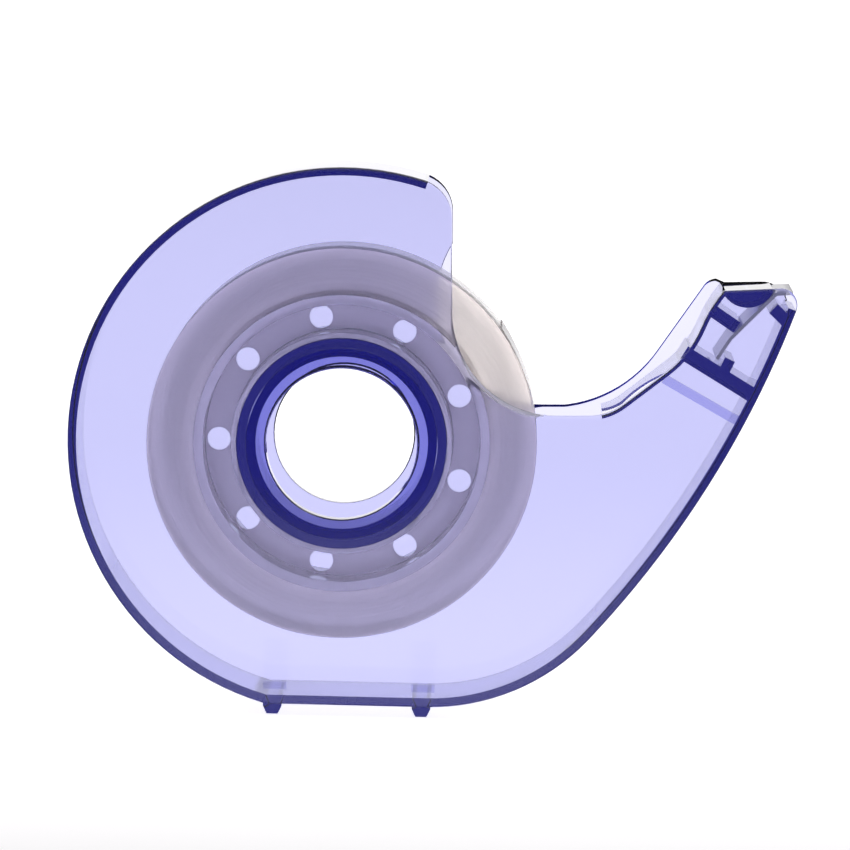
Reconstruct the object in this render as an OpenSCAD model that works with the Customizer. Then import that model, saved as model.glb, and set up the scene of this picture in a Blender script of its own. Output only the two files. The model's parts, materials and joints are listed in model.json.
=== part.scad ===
/* [Housing] */
// Outer radius of the drum that holds the roll
drum_r = 32.8; // [32:0.1:34]
// Height of the drum's centre above the hub axis
drum_rise = 0.33; // [0.2:0.01:0.5]
// Depth over both side walls
depth = 22.5; // [22.5:0.1:25]
// Thickness of each side wall
wall_t = 1.1; // [0.9:0.1:1.1]
// Thickness of the rim between the side walls
rim_t = 1.0; // [0.8:0.1:1.2]
// Radius of the walls' rounded corner at the top of the mouth
corner_r = 4.8; // [4:0.1:5.5]
// Height of the feet under the flat bottom
foot_h = 1.3; // [1:0.1:2]
// Angle that the housing leans back when it stands on its feet
stance = 1.3; // [1:0.1:1.5]

/* [Arm] */
// Distance of the belly curve's centre in front of the hub axis
belly_x = 10.75; // [10.5:0.05:11]
// Distance of the belly curve's centre below the hub axis
belly_drop = 5.6; // [5.5:0.05:5.7]
// Radius of the belly curve
belly_r = 26; // [25.8:0.1:26.2]
// Radius of the long curve under the arm
arm_r = 120.9; // [118:0.1:124]
// Direction from the belly's centre in which the long curve takes over
arm_join = -43.2; // [-44:0.1:-42]
// Height of the front cover's tip corner above the hub axis
tip_top = 18.65; // [18.6:0.05:18.8]
// Radius of the tip corner on the front cover
tip_r = 2; // [1.8:0.1:2.2]
// Radius of the tip corner on the rear wall
tip_r_rear = 3.1; // [2.8:0.1:3.3]
// Thickness of the ramp under the tape's landing strip
ramp_t = 0.55; // [0.5:0.05:0.8]
// Thickness of the rib across the arm
cross_rib_t = 1.8; // [1.4:0.1:2]

/* [Hub and tape] */
// Bore of the tape core, the standard one inch
core_bore_r = 12.7; // [12.7:0.1:12.9]
// Radius of the finger hole in the rear wall
finger_r = 8.5; // [8:0.1:8.6]
// Wall of each of the two nested hub tubes
tube_t = 1.1; // [1:0.05:1.15]
// Width of the tape
tape_w = 19; // [18:0.5:19]
// Outer radius of the tape that is left on the core
tape_r = 23.4; // [20:0.1:26]
// Outer radius of the core
core_r = 17.8; // [17.4:0.1:18]
// Number of holes in the core's web
core_holes = 9; // [6:1:9]

/* [Cutter] */
// Thickness of the blade's steel strip
blade_t = 0.4; // [0.3:0.05:0.4]
// Length of the blade's strip across the tip
blade_w = 19.8; // [19:0.1:20]
// Number of teeth on the blade
teeth = 16; // [12:1:20]

/* [Hidden] */

// Running clearance of the core on the hub, and of the hub's inner tube in its outer one
core_play = 0.1;
tube_play = 0.05;
// Gap at the seam between the rim and the front cover
seam = 0.12;

// Radii of the hub, from the outside in
outer_tube_r = core_bore_r - core_play;
inner_tube_r = outer_tube_r - tube_t - tube_play;
sleeve_r = inner_tube_r - 2 * tube_t - 0.2;
sleeve_deep = 3.8;
sleeve_bevel = 0.3;
flange_h = 1.1;

// Distances forward of mid-depth: outside and inside of the walls, and the rim's front end
face_f = depth / 2;
inside_f = face_f - wall_t;
rim_f = inside_f - seam;

// The mouth through which the tape leaves: its upright edge, its floor and its two round ends
mouth_x = 13.24;
mouth_floor = 3.37;
mouth_r = 12.56;
mouth_c = [25.8, mouth_floor + mouth_r];
mouth_r_rear = 12.85;
mouth_c_rear = [24.1, mouth_floor + mouth_r_rear + 0.08];

// The long curve under the arm meets the belly and both tip corners without a kink
drum_c = [0, drum_rise];
belly_c = [belly_x, -belly_drop];
arm_c = belly_c - (arm_r - belly_r) * heading(arm_join);
flat_dir = heading(180 - stance);
flat_end = spot(belly_c, belly_r, -90 - stance);
flat_len = 19.2;

// The ramp from the mouth's floor to the tip, and the higher guide lip behind it, as runs of
// [length, 0] straights and [radius, turn] bends
ramp_from = [29.6, mouth_floor];
ramp_moves = [[6.8, 37], [6.5, 0], [13, 30], [17.5, -17]];
ramp_start_x = 31.2;
lip_from = [25.11, 3.35];
lip_moves = [[15.88, 54.5], [9.8, 0], [2, -50]];
lip_end_x = 46.4;

// The rounded corner at the top of the mouth, and where the rim stops short of it
corner_x = mouth_x - corner_r;
corner_c = [corner_x, drum_rise + sqrt(pow(drum_r - corner_r, 2) - pow(corner_x, 2))];
rim_stop = atan2(corner_c.y - drum_rise, corner_c.x);

// The blade's back face, from its lower end up to the teeth
blade_from = [45.1, 10.05];
blade_head = 56;
blade_moves = [[2.7, 0], [2, -11.5], [7.1, 0], [0.6, -42], [1.75, 0]];
tooth_h = 0.9;

// The row's frame: centred over the footprint, standing on the feet
hub_h = foot_h + belly_r - (belly_c.y * cos(stance) + belly_c.x * sin(stance));
left_x = -drum_rise * sin(stance) - drum_r;
right_x = tip_c(tip_r, tip_top).x * cos(stance) - tip_c(tip_r, tip_top).y * sin(stance) + tip_r;
mid_x = (left_x + right_x) / 2;

shell_color = [0.42, 0.41, 0.88, 0.55];

function heading(a) = [cos(a), sin(a)];
function spot(c, r, a) = c + r * heading(a);
function arc(c, r, from, to, n) = [for (i = [0:n]) spot(c, r, from + (to - from) * i / n)];
function backwards(list) = [for (i = [len(list) - 1:-1:0]) list[i]];

// Centre of a tip corner that touches the long curve from inside and reaches up to top
function tip_c(r, top) = [arm_c.x + sqrt(pow(arm_r - r, 2) - pow(top - r - arm_c.y, 2)), top - r];

// Points along a run of moves, shifted to its right by aside
function run(at, head, moves, aside = 0, i = 0) =
    i == len(moves) ? [at + aside * heading(head - 90)] :
    moves[i][1] == 0 ?
        concat(
            [at + aside * heading(head - 90)],
            run(at + moves[i][0] * heading(head), head, moves, aside, i + 1)
        ) :
    let (r = moves[i][0], turn = moves[i][1], way = sign(turn))
    let (c = at + way * r * heading(head + 90), steps = ceil(abs(turn) / 4))
        concat(
            [for (k = [0:steps - 1]) spot(c, r + way * aside, head - way * 90 + turn * k / steps)],
            run(spot(c, r, head - way * 90 + turn), head + turn, moves, aside, i + 1)
        );

// The belly and the arm as one line up to the tip, moved inwards by inset
function under_edge(inset, tip_turn) = concat(
    arc(belly_c, belly_r - inset, -90 - stance, arm_join, 16),
    arc(arm_c, arm_r - inset, arm_join, tip_turn, 22)
);

// Left end of the flat bottom, moved upwards by inset
function flat_start(inset) = flat_end + flat_len * flat_dir + inset * heading(90 - stance);

// Puts a side view, drawn about the hub axis, into the row's frame, from one depth to another
module slab(from_f, to_f) {
    translate([-mid_x, 0, hub_h])
        rotate([90, 0, 0])
            rotate(stance)
                translate([0, 0, from_f])
                    linear_extrude(to_f - from_f) children();
}

// Turns a half section, radius across and depth upwards, about the hub axis
module lathe() {
    translate([-mid_x, 0, hub_h])
        rotate([90, 0, 0])
            rotate_extrude($fn = 120) children();
}

module bar(from, to, t) {
    side = heading(atan2(to.y - from.y, to.x - from.x) + 90) * t / 2;
    polygon([from - side, to - side, to + side, from + side]);
}

// Everything that the flat bottom cuts away
module below_flat() {
    translate(flat_end) rotate(-stance) translate([-40, -10]) square([80, 10]);
}

module mouth(c, r) {
    translate(c) circle(r, $fn = 96);
    translate([mouth_x, c.y]) square(40);
    translate([c.x, c.y - r]) square([20, 40]);
}

module above_corner() {
    difference() {
        polygon([corner_c, corner_c + 9 * heading(rim_stop), corner_c + [9, 9], corner_c + [9, 0]]);
        translate(corner_c) circle(corner_r, $fn = 96);
    }
}

// Outline of a side wall, with its own tip corner and mouth
module side_wall(corner, top, c, r) {
    tip = tip_c(corner, top);
    turn = atan2(tip.y - arm_c.y, tip.x - arm_c.x);
    difference() {
        union() {
            difference() {
                translate(drum_c) circle(drum_r, $fn = 180);
                mouth(c, r);
                above_corner();
            }
            polygon(concat(
                [flat_start(-2)],
                under_edge(0, turn),
                arc(tip, corner, turn, 93, 12),
                backwards(run(ramp_from, 0, ramp_moves)),
                [[mouth_c.x, mouth_floor], [-6, -3]]
            ));
        }
        below_flat();
    }
}

// The rear wall's lip, which guides the tape's edge along the ramp
module guide_lip() {
    polygon(concat(
        run(lip_from, 0, lip_moves),
        [[lip_end_x, 18.3]],
        backwards(run(ramp_from, 0, ramp_moves, ramp_t))
    ));
}

module rim() {
    difference() {
        translate(drum_c) circle(drum_r, $fn = 180);
        translate(drum_c) circle(drum_r - rim_t, $fn = 180);
        below_flat();
        above_corner();
        polygon([drum_c, drum_c + 60 * heading(rim_stop - 0.9), [60, 60], [60, -60], [0, -60]]);
    }
    tip = tip_c(tip_r, tip_top);
    turn = atan2(tip.y - arm_c.y, tip.x - arm_c.x);
    polygon(concat(
        [flat_start(0)], under_edge(0, turn), backwards(under_edge(rim_t, turn)),
        [flat_start(rim_t) + 0.6 * flat_dir]
    ));
}

module ramp() {
    intersection() {
        polygon(concat(
            run(ramp_from, 0, ramp_moves),
            backwards(run(ramp_from, 0, ramp_moves, ramp_t))
        ));
        translate([ramp_start_x, 0]) square(30);
    }
}

// Rounded bar under the tip's flat top, on which the tape's end rests
module landing_bar() {
    intersection() {
        translate([48.6, 19.7]) circle(3.4, $fn = 64);
        rotate(2) translate([40, 6.5]) square([20, 10]);
    }
}

module foot(x) {
    rotate(-stance)
        translate([x, foot_h - hub_h])
            polygon([
                [-1.15, 0.4], [-1.12, -0.35], [-0.8, -1.05], [-0.65, -foot_h],
                [0.65, -foot_h], [0.8, -1.05], [1.12, -0.35], [1.15, 0.4]
            ]);
}

// Casing half with the rear wall, the rim, the hub's outer tube and the tip's ribs
module rear_shell() {
    color(shell_color) {
        difference() {
            slab(-face_f, -inside_f) {
                side_wall(tip_r_rear, tip_top - 0.2, mouth_c_rear, mouth_r_rear);
                guide_lip();
            }
            slab(-face_f - 1, -inside_f + 1) circle(finger_r, $fn = 96);
        }
        slab(-inside_f, rim_f) {
            rim();
            ramp();
            landing_bar();
            bar([41, 10.9], [49.4, 5.7], cross_rib_t);
            bar([44.6, 15.8], [47.3, 13.95], 1.5);
            bar([51.7, 16.2], [53.3, 14.6], 1.5);
            bar([45.7, 8.5], [46.5, 10.1], 1.3);
        }
        slab(-face_f, rim_f) {
            foot(-7.62);
            foot(10.23);
        }
        slab(-inside_f, -inside_f + 1.8) bar([38.9, 6.68], [46.95, 2.05], 1.1);
        lathe() {
            polygon([
                [finger_r, -face_f], [outer_tube_r, -face_f], [outer_tube_r, rim_f],
                [outer_tube_r - tube_t, rim_f], [outer_tube_r - tube_t, flange_h - inside_f],
                [finger_r, flange_h - inside_f]
            ]);
        }
    }
}

// Tab behind the front wall that steadies the cover just inside the rim
module cover_tab(x) {
    tab_w = 2.8;
    tab_h = 6;
    pad_t = 0.1;
    tongue_t = 0.9;
    tongue_l = 1;
    tab_z = foot_h + rim_t + 0.7 - hub_h;
    slab(inside_f - pad_t, inside_f) rotate(-stance) translate([x, tab_z]) square([tab_w, tab_h]);
    slab(inside_f - tongue_l, inside_f) rotate(-stance) translate([x, tab_z]) square([tab_w, tongue_t]);
}

// Casing half with the front wall and the hub's inner tube; it pulls off for a new roll
module front_cover() {
    color(shell_color) {
        difference() {
            slab(inside_f, face_f) side_wall(tip_r, tip_top, mouth_c, mouth_r);
            slab(inside_f - 1, face_f + 1) circle(inner_tube_r - tube_t, $fn = 96);
        }
        lathe() {
            polygon([
                [sleeve_r, face_f], [inner_tube_r, face_f], [inner_tube_r, flange_h + 0.15 - inside_f],
                [inner_tube_r - tube_t, flange_h + 0.15 - inside_f],
                [inner_tube_r - tube_t, face_f - sleeve_deep],
                [sleeve_r + sleeve_bevel, face_f - sleeve_deep],
                [sleeve_r, face_f - sleeve_deep + sleeve_bevel]
            ]);
        }
        cover_tab(-8.75);
        cover_tab(9);
    }
}

// Teeth cut into the lip of the blade, as the space in front of a zigzag
module tooth_gaps() {
    tip_x = max([for (p = run(blade_from, blade_head, blade_moves)) p.x]);
    pitch = blade_w / teeth;
    translate([-mid_x, 0, hub_h])
        rotate([0, -stance, 0])
            translate([0, 0, tip_top - 1])
                linear_extrude(3)
                    polygon(concat(
                        [[tip_x + 1, -blade_w / 2 - 1], [tip_x + 1, blade_w / 2 + 1]],
                        [for (k = [2 * teeth:-1:0]) [
                            tip_x - (k % 2 == 0 ? tooth_h : 0),
                            (k - teeth) * pitch / 2
                        ]]
                    ));
}

// Bent steel strip between the ribs, with its toothed lip over the tip
module cutter_blade() {
    color("silver")
        difference() {
            slab(-blade_w / 2, blade_w / 2)
                polygon(concat(
                    run(blade_from, blade_head, blade_moves),
                    backwards(run(blade_from, blade_head, blade_moves, -blade_t))
                ));
            tooth_gaps();
        }
}

// Frosted core: two tubes joined by a web with a ring of holes
module tape_core() {
    inner_t = 0.6;
    outer_t = 1.2;
    web_t = 1.2;
    hole_r = 1.42;
    web_mid_r = (core_bore_r + inner_t + core_r - outer_t) / 2;
    color([0.93, 0.92, 0.95])
        difference() {
            lathe() {
                polygon([
                    [core_bore_r, -tape_w / 2], [core_bore_r + inner_t, -tape_w / 2],
                    [core_bore_r + inner_t, -web_t / 2], [core_r - outer_t, -web_t / 2],
                    [core_r - outer_t, -tape_w / 2], [core_r, -tape_w / 2], [core_r, tape_w / 2],
                    [core_r - outer_t, tape_w / 2], [core_r - outer_t, web_t / 2],
                    [core_bore_r + inner_t, web_t / 2], [core_bore_r + inner_t, tape_w / 2],
                    [core_bore_r, tape_w / 2]
                ]);
            }
            for (k = [0:core_holes - 1])
                slab(-web_t, web_t)
                    translate(spot([0, 0], web_mid_r, 20 + 360 * k / core_holes))
                        circle(hole_r, $fn = 32);
        }
}

// Tape wound on the core, with its free end lifted a little
module tape_roll() {
    end_lift = 0.8;
    end_from = 27;
    end_turn = 9;
    film = 0.15;
    color([0.86, 0.83, 0.84])
        slab(-tape_w / 2, tape_w / 2) {
            difference() {
                circle(tape_r, $fn = 180);
                circle(core_r + 0.01, $fn = 180);
            }
            polygon(concat(
                [spot([0, 0], tape_r - 1, end_from)],
                [for (k = [0:6]) spot([0, 0], tape_r + end_lift * pow(k / 6, 2), end_from + end_turn * k / 6)],
                [for (k = [6:-1:3]) spot([0, 0], tape_r - film + end_lift * pow(k / 6, 2), end_from + end_turn * k / 6)],
                [spot([0, 0], tape_r - 1, end_from + end_turn / 4)]
            ));
        }
}

rear_shell();
front_cover();
cutter_blade();
tape_core();
tape_roll();
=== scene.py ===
import json
import math
import random

import bmesh
import bpy
from mathutils import Matrix, Vector
from mathutils.geometry import tessellate_polygon


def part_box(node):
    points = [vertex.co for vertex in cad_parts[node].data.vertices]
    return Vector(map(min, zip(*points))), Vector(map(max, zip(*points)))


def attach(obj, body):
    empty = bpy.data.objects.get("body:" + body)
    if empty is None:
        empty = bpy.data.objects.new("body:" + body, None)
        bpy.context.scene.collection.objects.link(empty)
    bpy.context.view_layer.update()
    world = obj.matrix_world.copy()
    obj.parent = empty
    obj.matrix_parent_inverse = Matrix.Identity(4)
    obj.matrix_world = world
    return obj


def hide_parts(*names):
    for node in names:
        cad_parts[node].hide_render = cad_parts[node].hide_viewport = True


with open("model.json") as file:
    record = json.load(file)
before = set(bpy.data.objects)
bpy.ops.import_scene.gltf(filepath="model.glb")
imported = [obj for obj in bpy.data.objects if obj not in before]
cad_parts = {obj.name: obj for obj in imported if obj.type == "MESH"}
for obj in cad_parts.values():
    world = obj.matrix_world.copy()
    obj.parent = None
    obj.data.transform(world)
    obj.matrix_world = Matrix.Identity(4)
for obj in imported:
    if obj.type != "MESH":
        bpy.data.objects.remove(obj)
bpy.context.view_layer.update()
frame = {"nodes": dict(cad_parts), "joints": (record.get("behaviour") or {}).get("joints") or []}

MM = 0.001


# ---- places, all from the frame ----

hub = Vector(next(j["pos_m"] for j in frame["joints"] if j["name"] == "roll_spin"))
front_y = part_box("front_cover")[0].y
back_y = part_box("rear_shell")[1].y
core_low, core_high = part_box("tape_core")
core_r, core_half = (core_high.x - core_low.x) / 2, (core_high.y - core_low.y) / 2
roll_low, roll_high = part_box("tape_roll")
roll_r, roll_half = hub.x - roll_low.x, (roll_high.y - roll_low.y) / 2
EPS = 1e-5


# ---- sizes that only the looks need ----

REAR_EDGE, FRONT_EDGE = 0.08 * MM, 0.15 * MM
UPPER_EDGE_EXTRA = 0.25 * MM
CORE_BORE_R = 12.63 * MM
CORE_INNER_T, CORE_OUTER_T = 0.67 * MM, 1.2 * MM
FINGER_HOLE_REACH = 13 * MM
FINGER_HOLE_CUT = 0.15 * MM
MOUTH_CUT = 0.2 * MM


# ---- node helpers ----

def new_material(name):
    material = bpy.data.materials.new(name)
    material.use_nodes = True
    nodes = material.node_tree.nodes
    nodes.clear()
    output = nodes.new("ShaderNodeOutputMaterial")
    return material, nodes, material.node_tree.links, output


def hub_radius(nodes, links):
    """Each point's distance from the hub axis, in metres, and its own coordinates, as sockets."""
    place = nodes.new("ShaderNodeTexCoord")
    moved = nodes.new("ShaderNodeVectorMath")
    moved.operation = "SUBTRACT"
    moved.inputs[1].default_value = hub
    flat = nodes.new("ShaderNodeVectorMath")
    flat.operation = "MULTIPLY"
    flat.inputs[1].default_value = (1, 0, 1)
    length = nodes.new("ShaderNodeVectorMath")
    length.operation = "LENGTH"
    links.new(place.outputs["Object"], moved.inputs[0])
    links.new(moved.outputs[0], flat.inputs[0])
    links.new(flat.outputs[0], length.inputs[0])
    return length.outputs["Value"], place.outputs["Object"]


def noise(nodes, links, place, scale, detail=3, stretch=(1, 1, 1)):
    mapping = nodes.new("ShaderNodeMapping")
    mapping.inputs["Scale"].default_value = stretch
    texture = nodes.new("ShaderNodeTexNoise")
    texture.inputs["Scale"].default_value = scale
    texture.inputs["Detail"].default_value = detail
    links.new(place, mapping.inputs["Vector"])
    links.new(mapping.outputs[0], texture.inputs["Vector"])
    return texture.outputs["Fac"]


def spread(nodes, links, value, low, high):
    """Maps a 0 to 1 value onto low to high."""
    node = nodes.new("ShaderNodeMapRange")
    node.inputs["To Min"].default_value = low
    node.inputs["To Max"].default_value = high
    links.new(value, node.inputs["Value"])
    return node.outputs["Result"]


def ranged(nodes, links, value, source, target, way="LINEAR"):
    """Maps the source range of a value onto the target range, and holds it at the ends."""
    node = nodes.new("ShaderNodeMapRange")
    node.interpolation_type = way
    for i, end in enumerate(("Min", "Max")):
        node.inputs["From " + end].default_value = source[i]
        node.inputs["To " + end].default_value = target[i]
    links.new(value, node.inputs["Value"])
    return node.outputs["Result"]


def math_of(nodes, links, operation, first, second):
    """The result of a Math node on two sockets."""
    node = nodes.new("ShaderNodeMath")
    node.operation = operation
    links.new(first, node.inputs[0])
    links.new(second, node.inputs[1])
    return node.outputs[0]


def two_colours(nodes, links, value, low, high):
    """A colour that runs from low to high as the value runs from 0 to 1."""
    ramp = nodes.new("ShaderNodeValToRGB")
    ramp.color_ramp.elements[0].color = (*low, 1)
    ramp.color_ramp.elements[1].color = (*high, 1)
    links.new(value, ramp.inputs["Fac"])
    return ramp.outputs["Color"]


def true_normal(nodes):
    return nodes.new("ShaderNodeNewGeometry").outputs["True Normal"]


def bump(nodes, links, height, distance, strength=1.0):
    node = nodes.new("ShaderNodeBump")
    node.inputs["Strength"].default_value = strength
    node.inputs["Distance"].default_value = distance
    links.new(height, node.inputs["Height"])
    return node.outputs["Normal"]


# ---- materials ----

def mouth_highlight_frost(nodes, links, place):
    """1 on the matt edge of the front wall where the mouth crosses the roll, and 0 elsewhere: a
    painted highlight, matt and pale so that the key lamp lights it into a bright line.
    """
    up_and_forward = (0.7, 0, 0.7)
    facing = nodes.new("ShaderNodeVectorMath")
    facing.operation = "DOT_PRODUCT"
    facing.inputs[1].default_value = up_and_forward
    links.new(true_normal(nodes), facing.inputs[0])
    parts = nodes.new("ShaderNodeSeparateXYZ")
    links.new(place, parts.inputs[0])
    wall_y, start_x, end_x = front_y + 0.6 * MM, hub.x + 14 * MM, hub.x + roll_r
    highlight_frost = ranged(nodes, links, facing.outputs["Value"], (0.1, 0.4), (0, 1))
    for axis, source, target in (
        ("Y", (wall_y, wall_y + 0.2 * MM), (1, 0)),
        ("X", (start_x, start_x + 1 * MM), (0, 1)),
        ("X", (end_x, end_x + 1 * MM), (1, 0)),
    ):
        mask = ranged(nodes, links, parts.outputs[axis], source, target)
        highlight_frost = math_of(nodes, links, "MULTIPLY", highlight_frost, mask)
    return highlight_frost


def housing_plastic():
    """Clear tinted polystyrene: the tint is in the volume, so edges seen end on are dark."""
    material, nodes, links, output = new_material("housing_plastic")
    place = nodes.new("ShaderNodeTexCoord").outputs["Object"]
    plastic = nodes.new("ShaderNodeBsdfPrincipled")
    plastic.inputs["IOR"].default_value = 1.5
    # The matt strip on the up-facing mouth edge is a painted highlight: the key lamp lights it into
    # the bright line along the mouth.
    highlight_frost = mouth_highlight_frost(nodes, links, place)
    links.new(spread(nodes, links, highlight_frost, 1, 0.1), plastic.inputs["Transmission Weight"])
    # The strip's pale lavender is the painted highlight's colour; elsewhere the plastic is white
    # and clear.
    links.new(
        two_colours(nodes, links, highlight_frost, (1, 1, 1), (0.84, 0.83, 1)),
        plastic.inputs["Base Color"],
    )
    links.new(
        spread(nodes, links, noise(nodes, links, place, 60), 0.0, 0.03),
        plastic.inputs["Roughness"],
    )
    flow = noise(nodes, links, place, 45, detail=1)
    links.new(bump(nodes, links, flow, 0.02 * MM, 0.4), plastic.inputs["Normal"])
    clear = nodes.new("ShaderNodeBsdfTransparent")
    clear.inputs["Color"].default_value = (0.93, 0.93, 0.95, 1)
    rays = nodes.new("ShaderNodeLightPath")
    mix = nodes.new("ShaderNodeMixShader")
    links.new(rays.outputs["Is Shadow Ray"], mix.inputs["Fac"])
    links.new(plastic.outputs[0], mix.inputs[1])
    links.new(clear.outputs[0], mix.inputs[2])
    links.new(mix.outputs[0], output.inputs["Surface"])
    tint = nodes.new("ShaderNodeVolumeAbsorption")
    tint.inputs["Color"].default_value = (0.03, 0.04, 0.72, 1)
    tint.inputs["Density"].default_value = 310
    links.new(tint.outputs[0], output.inputs["Volume"])
    return material


def blade_steel():
    """Thin rolled steel, brushed along its length."""
    material, nodes, links, output = new_material("blade_steel")
    place = nodes.new("ShaderNodeTexCoord").outputs["Object"]
    steel = nodes.new("ShaderNodeBsdfPrincipled")
    steel.inputs["Metallic"].default_value = 1
    grain = noise(nodes, links, place, 900, detail=4, stretch=(1, 0.04, 1))
    links.new(
        two_colours(nodes, links, grain, (0.60, 0.60, 0.63), (0.88, 0.88, 0.90)),
        steel.inputs["Base Color"],
    )
    links.new(spread(nodes, links, grain, 0.22, 0.42), steel.inputs["Roughness"])
    links.new(bump(nodes, links, grain, 0.02 * MM, 0.5), steel.inputs["Normal"])
    links.new(steel.outputs[0], output.inputs["Surface"])
    return material


def core_plastic():
    """Natural polypropylene with a satin web and glossy tubes: light gets about 3 mm into it."""
    material, nodes, links, output = new_material("core_plastic")
    radius, place = hub_radius(nodes, links)
    plastic = nodes.new("ShaderNodeBsdfPrincipled")
    cloud = noise(nodes, links, place, 180, detail=4)
    links.new(
        two_colours(nodes, links, cloud, (0.94, 0.86, 0.93), (0.99, 0.93, 0.98)),
        plastic.inputs["Base Color"],
    )
    web_low, web_high = CORE_BORE_R + CORE_INNER_T + 0.02 * MM, core_r - CORE_OUTER_T - 0.1 * MM
    tubes = math_of(
        nodes, links, "ADD",
        ranged(nodes, links, radius, (web_high, web_high + 0.08 * MM), (0, 1)),
        ranged(nodes, links, radius, (web_low, web_low + 0.08 * MM), (1, 0)),
    )
    links.new(spread(nodes, links, tubes, 0.7, 0.72), plastic.inputs["Transmission Weight"])
    links.new(spread(nodes, links, tubes, 0.35, 0.08), plastic.inputs["Roughness"])
    plastic.inputs["Subsurface Weight"].default_value = 1
    plastic.inputs["Subsurface Radius"].default_value = (1, 1, 1)
    plastic.inputs["Subsurface Scale"].default_value = 3 * MM
    plastic.inputs["IOR"].default_value = 1.49
    fine = noise(nodes, links, place, 2500, detail=2)
    links.new(bump(nodes, links, fine, 0.01 * MM, 0.4), plastic.inputs["Normal"])
    links.new(plastic.outputs[0], output.inputs["Surface"])
    return material


def film_clearness(nodes, links, radius):
    """How clear the sides of the roll are, by radius; the outer surface round it is milky."""
    clear = nodes.new("ShaderNodeValToRGB")
    clear.color_ramp.interpolation = "EASE"
    stops = ((0.0, 0.8), (0.35, 0.62), (0.62, 0.6), (0.85, 0.76), (1.0, 0.97))
    while len(clear.color_ramp.elements) < len(stops):
        clear.color_ramp.elements.new(0.5)
    for element, (position, grey) in zip(clear.color_ramp.elements, stops):
        element.position = position
        element.color = (grey, grey, grey, 1)
    links.new(ranged(nodes, links, radius, (core_r, roll_r), (0, 1)), clear.inputs["Fac"])
    normal = nodes.new("ShaderNodeSeparateXYZ")
    links.new(true_normal(nodes), normal.inputs[0])
    squared = math_of(nodes, links, "MULTIPLY", normal.outputs["Y"], normal.outputs["Y"])
    milky = math_of(
        nodes, links, "MULTIPLY",
        ranged(nodes, links, squared, (0.05, 0.3), (0.55, 0)),
        ranged(nodes, links, radius, (roll_r - 0.4 * MM, roll_r - 0.35 * MM), (0, 1)),
    )
    return math_of(nodes, links, "SUBTRACT", clear.outputs["Color"], milky)


def tape_film():
    """Film in many layers: their edges show as fine rings, and the outermost let light through."""
    material, nodes, links, output = new_material("tape_film")
    radius = hub_radius(nodes, links)[0]
    film = nodes.new("ShaderNodeBsdfPrincipled")
    rings = nodes.new("ShaderNodeTexNoise")
    rings.noise_dimensions = "1D"
    rings.inputs["Scale"].default_value = 4000
    rings.inputs["Detail"].default_value = 4
    links.new(radius, rings.inputs["W"])
    links.new(
        two_colours(nodes, links, rings.outputs["Fac"], (0.94, 0.86, 0.84), (0.97, 0.90, 0.88)),
        film.inputs["Base Color"],
    )
    film.inputs["Subsurface Weight"].default_value = 1
    film.inputs["Subsurface Radius"].default_value = (1, 1, 1)
    film.inputs["Subsurface Scale"].default_value = 12 * MM
    links.new(film_clearness(nodes, links, radius), film.inputs["Transmission Weight"])
    links.new(
        ranged(nodes, links, radius, (roll_r - 0.06 * MM, roll_r - 0.02 * MM), (0.5, 0.12)),
        film.inputs["Roughness"],
    )
    film.inputs["IOR"].default_value = 1.15
    links.new(bump(nodes, links, rings.outputs["Fac"], 0.02 * MM, 0.4), film.inputs["Normal"])
    links.new(film.outputs[0], output.inputs["Surface"])
    return material


# ---- pieces ----

def add_piece(name, mesh, material, body):
    piece = bpy.data.objects.new(name, mesh)
    bpy.context.scene.collection.objects.link(piece)
    mesh.materials.clear()
    mesh.materials.append(material)
    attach(piece, body)
    return piece


def boundary_loops(faces):
    """The closed loops round a flat group of faces, each as vertices with the faces on its left."""
    inside = set(faces)
    follow = {}
    for face in faces:
        for corner in face.loops:
            if all(f in inside for f in corner.edge.link_faces):
                continue
            follow.setdefault(corner.vert, []).append(corner.link_loop_next.vert)
    loops = []
    while follow:
        start = next(iter(follow))
        loop, at = [], start
        while at in follow:
            loop.append(at)
            ways = follow[at]
            step = ways.pop()
            if not ways:
                del follow[at]
            at = step
        loops.append(loop)
    return loops


def cut_sizes(places, inward, width, extra, steps):
    """How far each corner of an outline is cut back, and in how many steps."""
    reach = [(place - hub).xz.length for place in places]
    if max(reach) < FINGER_HOLE_REACH:
        return [FINGER_HOLE_CUT] * len(places), 1
    sizes = []
    for place, away, way in zip(places, reach, inward):
        up = -way.normalized().z
        size = width * (1 + 0.6 * min(0, up)) + extra * max(0, up) ** 2
        over_roll = away < roll_r and place.x > hub.x + FINGER_HOLE_REACH
        sizes.append(size + (MOUTH_CUT if over_roll else 0))
    return sizes, steps


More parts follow.
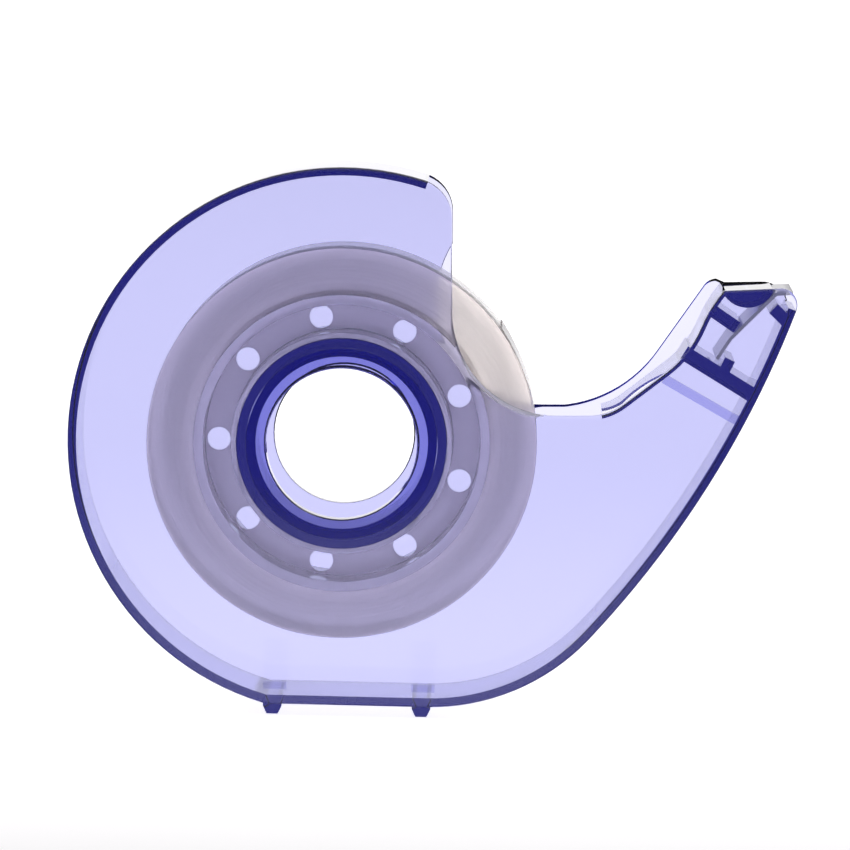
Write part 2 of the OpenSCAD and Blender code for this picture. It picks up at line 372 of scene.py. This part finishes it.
def round_over(shell, plane_y, outward, width, extra, steps):
    """Rounds the outline of one outer plane by width, and by extra more where it faces up."""
    faces = [
        f for f in shell.faces
        if f.normal.y * outward > 0.99 and all(abs(v.co.y - plane_y) < EPS for v in f.verts)
    ]
    loops = boundary_loops(faces)
    bmesh.ops.delete(shell, geom=faces, context="FACES_KEEP_BOUNDARY")
    normal = Vector((0, outward, 0))
    outlines = []
    for loop in loops:
        count = len(loop)
        sides = []
        for i in range(count):
            along = (loop[(i + 1) % count].co - loop[i].co).normalized()
            sides.append(normal.cross(along))
        inward = []
        for i in range(count):
            both = sides[i - 1] + sides[i]
            inward.append(both / max(1 + sides[i - 1].dot(sides[i]), 0.4))
        places = [v.co.copy() for v in loop]
        radii, turns = cut_sizes(places, inward, width, extra, steps)
        rows = [loop]
        for k in range(1, turns + 1):
            turn = math.radians(90) * k / turns
            inset, depth = 1 - math.cos(turn), 1 - math.sin(turn)
            rows.append([
                shell.verts.new(places[i] + (inward[i] * inset - normal * depth) * radii[i])
                for i in range(count)
            ])
        for i in range(count):
            loop[i].co = places[i] - normal * radii[i]
        for low, high in zip(rows, rows[1:]):
            for i in range(count):
                j = (i + 1) % count
                shell.faces.new((low[i], low[j], high[j], high[i]))
        outlines.append(rows[-1])
    corners = [v for outline in outlines for v in outline]
    flat = [[Vector((v.co.x, v.co.z, 0)) for v in outline] for outline in outlines]
    for triangle in tessellate_polygon(flat):
        face = shell.faces.new([corners[i] for i in triangle])
        face.normal_update()
        if face.normal.y * outward < 0:
            face.normal_flip()


def welded(node, name):
    """A copy of a CAD node's mesh with its faces joined at their edges."""
    mesh = frame["nodes"][node].data.copy()
    mesh.name = name
    if "custom_normal" in mesh.attributes:
        mesh.attributes.remove(mesh.attributes["custom_normal"])
    joined = bmesh.new()
    joined.from_mesh(mesh)
    bmesh.ops.remove_doubles(joined, verts=joined.verts, dist=2e-6)
    bmesh.ops.dissolve_degenerate(joined, edges=joined.edges, dist=1e-6)
    joined.normal_update()
    return mesh, joined


def shade(joined, mesh, sharp=32):
    """Smooth shading, apart from the edges that turn by more than sharp degrees."""
    joined.normal_update()
    for face in joined.faces:
        face.smooth = True
    for edge in joined.edges:
        edge.smooth = len(edge.link_faces) == 2 and edge.calc_face_angle(0) < math.radians(sharp)
    joined.to_mesh(mesh)
    joined.free()


def keep_flat(piece):
    weighted = piece.modifiers.new("flat_faces_stay_flat", "WEIGHTED_NORMAL")
    weighted.keep_sharp = True


def shell_half(node, name, body, material, plane_y, outward, width, extra, steps):
    """A casing half with the outline of its outer face rounded over."""
    mesh, shell = welded(node, name)
    round_over(shell, plane_y, outward, width, extra, steps)
    shade(shell, mesh)
    piece = add_piece(name, mesh, material, body)
    keep_flat(piece)
    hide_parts(node)
    return piece


def blade(material):
    mesh, strip = welded("cutter_blade", "blade")
    shade(strip, mesh, 20)
    piece = add_piece("blade", mesh, material, "housing")
    keep_flat(piece)
    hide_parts("cutter_blade")


def rounded(points, steps=3):
    """A closed half section from corners (radius, y, cut): each is cut back and turned in steps."""
    out = []
    for i, (r, y, radius) in enumerate(points):
        corner = Vector((r, y))
        before, after = Vector(points[i - 1][:2]), Vector(points[(i + 1) % len(points)][:2])
        start = corner + (before - corner).normalized() * radius
        end = corner + (after - corner).normalized() * radius
        for k in range(steps + 1):
            t = k / steps
            out.append(start * (1 - t) ** 2 + corner * 2 * t * (1 - t) + end * t ** 2)
    return out


def lathe(section, count):
    """Turns a closed half section of (radius, y) about the hub axis."""
    turned = bmesh.new()
    rings = []
    for k in range(count):
        angle = math.tau * k / count
        rings.append([
            turned.verts.new((hub.x + r * math.cos(angle), y, hub.z + r * math.sin(angle)))
            for r, y in section
        ])
    size = len(section)
    for k, ring in enumerate(rings):
        after = rings[(k + 1) % count]
        for i in range(size):
            j = (i + 1) % size
            turned.faces.new((ring[i], ring[j], after[j], after[i]))
    bmesh.ops.recalc_face_normals(turned, faces=turned.faces)
    return turned


def core(material):
    """Two tubes and a web with a ring of holes, with moulded edges."""
    half, web_half = core_half, 0.6 * MM
    in_r, out_r = CORE_BORE_R + CORE_INNER_T, core_r - CORE_OUTER_T
    sharp, soft = 0.03 * MM, 0.06 * MM
    section = rounded([
        (CORE_BORE_R, -half, soft), (in_r, -half, soft),
        (in_r, -web_half, soft), (out_r, -web_half, soft),
        (out_r, -half, soft), (core_r, -half, sharp),
        (core_r, half, sharp), (out_r, half, soft),
        (out_r, web_half, soft), (in_r, web_half, soft),
        (in_r, half, soft), (CORE_BORE_R, half, soft),
    ])
    turned = lathe(section, 180)
    mesh = bpy.data.meshes.new("core")
    turned.to_mesh(mesh)
    turned.free()
    body = bpy.data.objects.new("core_uncut", mesh)
    bpy.context.scene.collection.objects.link(body)
    drills = bmesh.new()
    hole_r, first, holes = 1.42 * MM, math.radians(21.3), 9
    for k in range(holes):
        angle, reach = first + math.tau * k / holes, (in_r + out_r) / 2
        place = Matrix.Translation((
            hub.x + reach * math.cos(angle), 0, hub.z + reach * math.sin(angle)
        )) @ Matrix.Rotation(math.radians(90), 4, "X")
        bmesh.ops.create_cone(
            drills, cap_ends=True, segments=40, radius1=hole_r, radius2=hole_r,
            depth=4 * web_half, matrix=place,
        )
    drill_mesh = bpy.data.meshes.new("drills")
    drills.to_mesh(drill_mesh)
    drills.free()
    drill = bpy.data.objects.new("drills", drill_mesh)
    bpy.context.scene.collection.objects.link(drill)
    cut = body.modifiers.new("holes", "BOOLEAN")
    cut.operation = "DIFFERENCE"
    cut.solver = "EXACT"
    cut.object = drill
    bpy.context.view_layer.update()
    depsgraph = bpy.context.evaluated_depsgraph_get()
    drilled = bpy.data.meshes.new_from_object(body.evaluated_get(depsgraph))
    bpy.data.objects.remove(body)
    bpy.data.objects.remove(drill)
    drilled.name = "core"
    finished = bmesh.new()
    finished.from_mesh(drilled)
    shade(finished, drilled, 35)
    piece = add_piece("core", drilled, material, "roll")
    keep_flat(piece)
    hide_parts("tape_core")


def wound_tape(material):
    """The roll: its layers lie a hair's breadth to one side or the other."""
    bore_r = core_r + 0.01 * MM
    layers, shift, soft = 60, 0.03 * MM, 0.3 * MM
    draw = random.Random(4)
    sides = []
    for way in (-1, 1):
        side = []
        for k in range(layers + 1):
            r = bore_r + (roll_r - bore_r) * k / layers
            past = max(0, 1 - (roll_r - r) / soft)
            drop = 0.8 * soft * (1 - math.sqrt(1 - past ** 2))
            side.append((r, way * (roll_half - shift * draw.random() * (1 - past) - drop)))
        sides.append(side)
    turned = lathe(sides[0] + sides[1][::-1], 240)
    mesh = bpy.data.meshes.new("wound_tape")
    shade(turned, mesh, 40)
    piece = add_piece("wound_tape", mesh, material, "roll")
    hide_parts("tape_roll")


def tape_end(material):
    """The free end: one layer that lifts off the roll, cut in the cutter's zigzag."""
    start, turn = math.radians(17), math.radians(20.5)
    lift, film_t = 0.2 * MM, 0.06 * MM
    teeth, bite, along = 16, math.radians(1.1), 26
    mesh = bpy.data.meshes.new("tape_end")
    strip = bmesh.new()
    sheets = []
    for under in (0, 1):
        rows = []
        for i in range(along + 1):
            row = []
            for k in range(2 * teeth + 1):
                reach = turn - (bite if k % 2 else 0)
                t = i / along
                angle = start + reach * t
                r = roll_r + lift * t ** 2.2 + film_t * (0.5 - under)
                y = roll_half * (k / teeth - 1) * 0.995
                row.append(strip.verts.new((
                    hub.x + r * math.cos(angle), y, hub.z + r * math.sin(angle)
                )))
            rows.append(row)
        sheets.append(rows)
    top, low = sheets
    last = 2 * teeth
    for i in range(along):
        for k in range(last):
            strip.faces.new((top[i][k], top[i][k + 1], top[i + 1][k + 1], top[i + 1][k]))
            strip.faces.new((low[i][k], low[i + 1][k], low[i + 1][k + 1], low[i][k + 1]))
        strip.faces.new((top[i][0], top[i + 1][0], low[i + 1][0], low[i][0]))
        strip.faces.new((top[i][last], low[i][last], low[i + 1][last], top[i + 1][last]))
    for k in range(last):
        strip.faces.new((top[0][k], low[0][k], low[0][k + 1], top[0][k + 1]))
        strip.faces.new((top[along][k], top[along][k + 1], low[along][k + 1], low[along][k]))
    bmesh.ops.recalc_face_normals(strip, faces=strip.faces)
    shade(strip, mesh, 40)
    add_piece("tape_end", mesh, material, "roll")


plastic = housing_plastic()
film = tape_film()
shell_half(
    "rear_shell", "shell_rear", "housing", plastic, back_y, 1, REAR_EDGE, UPPER_EDGE_EXTRA, 1
)
shell_half(
    "front_cover", "shell_front", "cover", plastic, front_y, -1, FRONT_EDGE, UPPER_EDGE_EXTRA, 4
)
blade(blade_steel())
core(core_plastic())
wound_tape(film)
tape_end(film)


# ---- stage, lights and camera ----

def floor():
    """A pale disc that glows towards the back, a hair under the feet so the two never coincide."""
    radius, gap = 6.0, 0.1 * MM
    mesh = bpy.data.meshes.new("floor")
    disc = bmesh.new()
    bmesh.ops.create_circle(disc, cap_ends=True, segments=96, radius=radius)
    disc.to_mesh(mesh)
    disc.free()
    piece = bpy.data.objects.new("floor", mesh)
    bpy.context.scene.collection.objects.link(piece)
    material, nodes, links, output = new_material("pale_floor")
    paint = nodes.new("ShaderNodeBsdfDiffuse")
    paint.inputs["Color"].default_value = (0.93, 0.92, 0.93, 1)
    place = nodes.new("ShaderNodeTexCoord")
    parts = nodes.new("ShaderNodeSeparateXYZ")
    links.new(place.outputs["Object"], parts.inputs[0])
    glow = nodes.new("ShaderNodeEmission")
    glow.inputs["Color"].default_value = (1, 0.99, 1, 1)
    back_lit = ranged(nodes, links, parts.outputs["Y"], (-0.5, 0.1), (0, 0.92), "SMOOTHSTEP")
    links.new(back_lit, glow.inputs["Strength"])
    both = nodes.new("ShaderNodeAddShader")
    links.new(paint.outputs[0], both.inputs[0])
    links.new(glow.outputs[0], both.inputs[1])
    links.new(both.outputs[0], output.inputs["Surface"])
    mesh.materials.append(material)
    piece.location.z = -gap


def area_light(name, size, energy, place, aim=None, spread_deg=180):
    light = bpy.data.lights.new(name, "AREA")
    light.shape = "RECTANGLE"
    light.size, light.size_y = size
    light.energy = energy
    light.spread = math.radians(spread_deg)
    lamp = bpy.data.objects.new(name, light)
    lamp.location = place
    if aim:
        lamp.rotation_euler = (aim - lamp.location).to_track_quat("-Z", "Y").to_euler()
    bpy.context.scene.collection.objects.link(lamp)


def studio():
    """A bright low wall behind, a dim room in front, a softbox above and a narrow key light."""
    scene = bpy.context.scene
    scene.view_settings.view_transform = "Standard"
    world = bpy.data.worlds.new("studio")
    world.use_nodes = True
    scene.world = world
    nodes, links = world.node_tree.nodes, world.node_tree.links
    sky = nodes["Background"]
    sky.inputs["Color"].default_value = (1, 0.99, 1, 1)
    way = nodes.new("ShaderNodeTexCoord")
    parts = nodes.new("ShaderNodeSeparateXYZ")
    links.new(way.outputs["Generated"], parts.inputs[0])
    behind = ranged(nodes, links, parts.outputs["Y"], (-0.2, 0.6), (0, 1), "SMOOTHSTEP")
    low = ranged(nodes, links, parts.outputs["Z"], (0.6, 0.1), (0, 0.95), "SMOOTHSTEP")
    room = 0.22
    wall = nodes.new("ShaderNodeMath")
    wall.operation = "MULTIPLY_ADD"
    links.new(behind, wall.inputs[0])
    links.new(low, wall.inputs[1])
    wall.inputs[2].default_value = room
    links.new(wall.outputs[0], sky.inputs["Strength"])
    area_light("softbox", (2.4, 1.6), 4, (0, 0.6, 1.0))
    area_light("key", (0.6, 0.6), 0.08, (0.45, -0.15, 0.9), hub, 30)


def camera():
    """A long lens a little above and to the right of the hub, rolled by the housing's lean."""
    stance = math.radians(1.3)
    distance = 1.18
    width_seen = 101.6746 * MM
    azimuth, elevation = math.radians(0.45), math.radians(3.65)
    lens = bpy.data.cameras.new("camera")
    lens.sensor_width = 36
    lens.lens = lens.sensor_width * distance / width_seen
    lens.clip_end = 20
    look = bpy.data.objects.new("camera", lens)
    bpy.context.scene.collection.objects.link(look)
    side, rise = 10.01 * MM, 2.3 * MM
    target = Vector((
        hub.x + side * math.cos(stance) - rise * math.sin(stance),
        front_y,
        hub.z + side * math.sin(stance) + rise * math.cos(stance),
    ))
    back = Vector((
        math.sin(azimuth) * math.cos(elevation),
        -math.cos(azimuth) * math.cos(elevation),
        math.sin(elevation),
    ))
    turn = (-back).to_track_quat("-Z", "Y").to_matrix() @ Matrix.Rotation(stance, 3, "Z")
    look.matrix_world = Matrix.Translation(target + distance * back) @ turn.to_4x4()
    bpy.context.scene.camera = look


floor()
studio()
camera()
